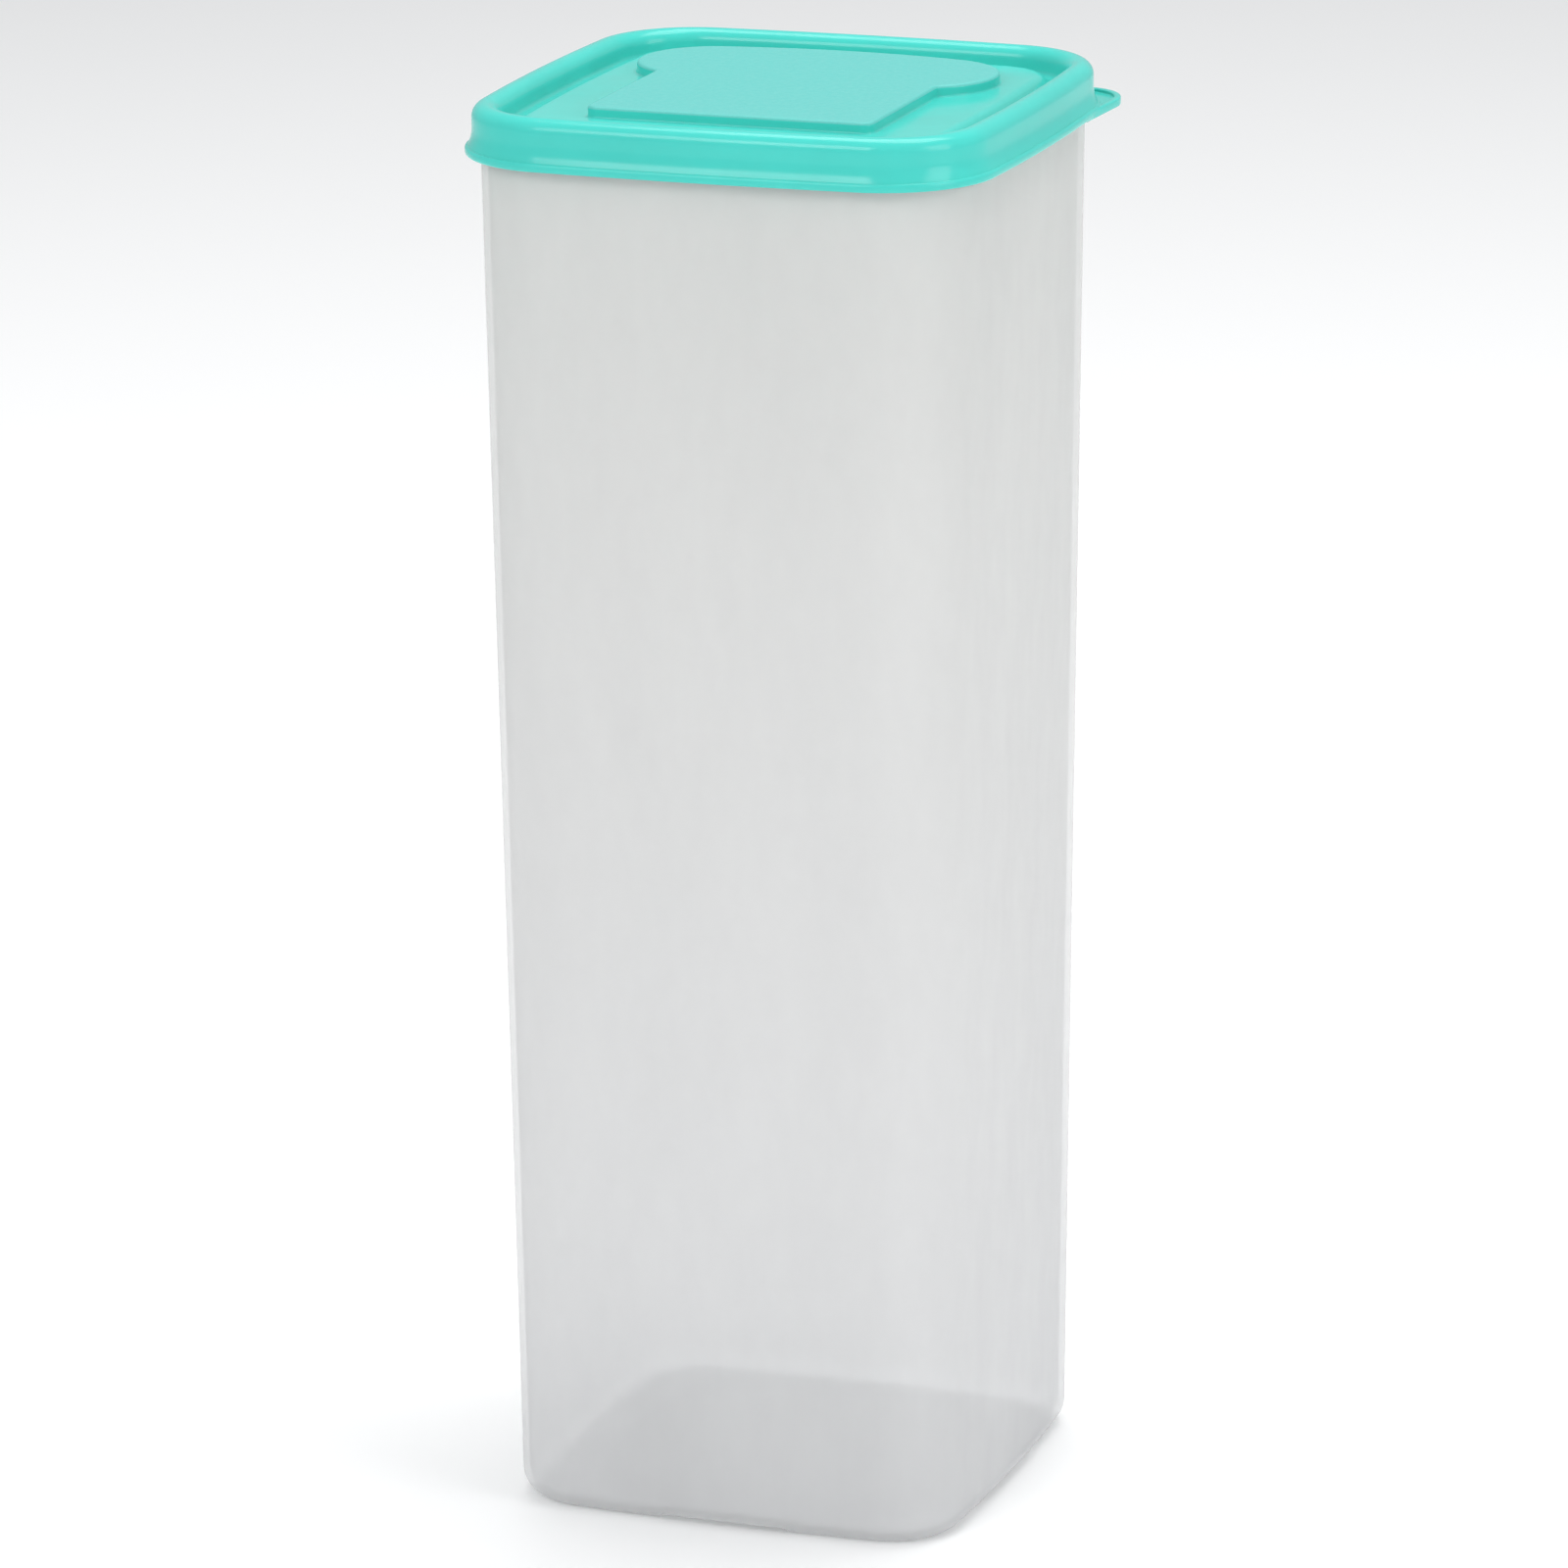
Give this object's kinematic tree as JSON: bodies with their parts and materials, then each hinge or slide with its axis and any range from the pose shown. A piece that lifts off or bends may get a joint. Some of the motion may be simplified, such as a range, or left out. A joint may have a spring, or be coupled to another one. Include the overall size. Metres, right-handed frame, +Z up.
{
  "type": "food canister",
  "caption": "Tall square food canister for a sliced loaf, with a translucent tapered bin and a soft snap lid that has a raised bread-slice panel and a corner pull tab.",
  "frame": {"origin": "on the surface the feet stand on, under the middle of the bin", "axes": "+Z up along the bin, -Y towards the side with the bread slice's flat end, +X +Y towards the pull tab"},
  "size_m": [0.1243, 0.1243, 0.325],
  "materials": {
    "translucent_plastic": "satin, milky translucent",
    "aqua_plastic": "soft gloss turquoise"
  },
  "bodies": {
    "bin": {"canister_body": "translucent_plastic"},
    "cover": {"lid": "aqua_plastic"}
  },
  "joints": [
    {"name": "lid_lift", "type": "slide", "parent": "bin", "child": "cover", "axis": [0, 0, 1], "range_m": [0, 0.15]}
  ]
}
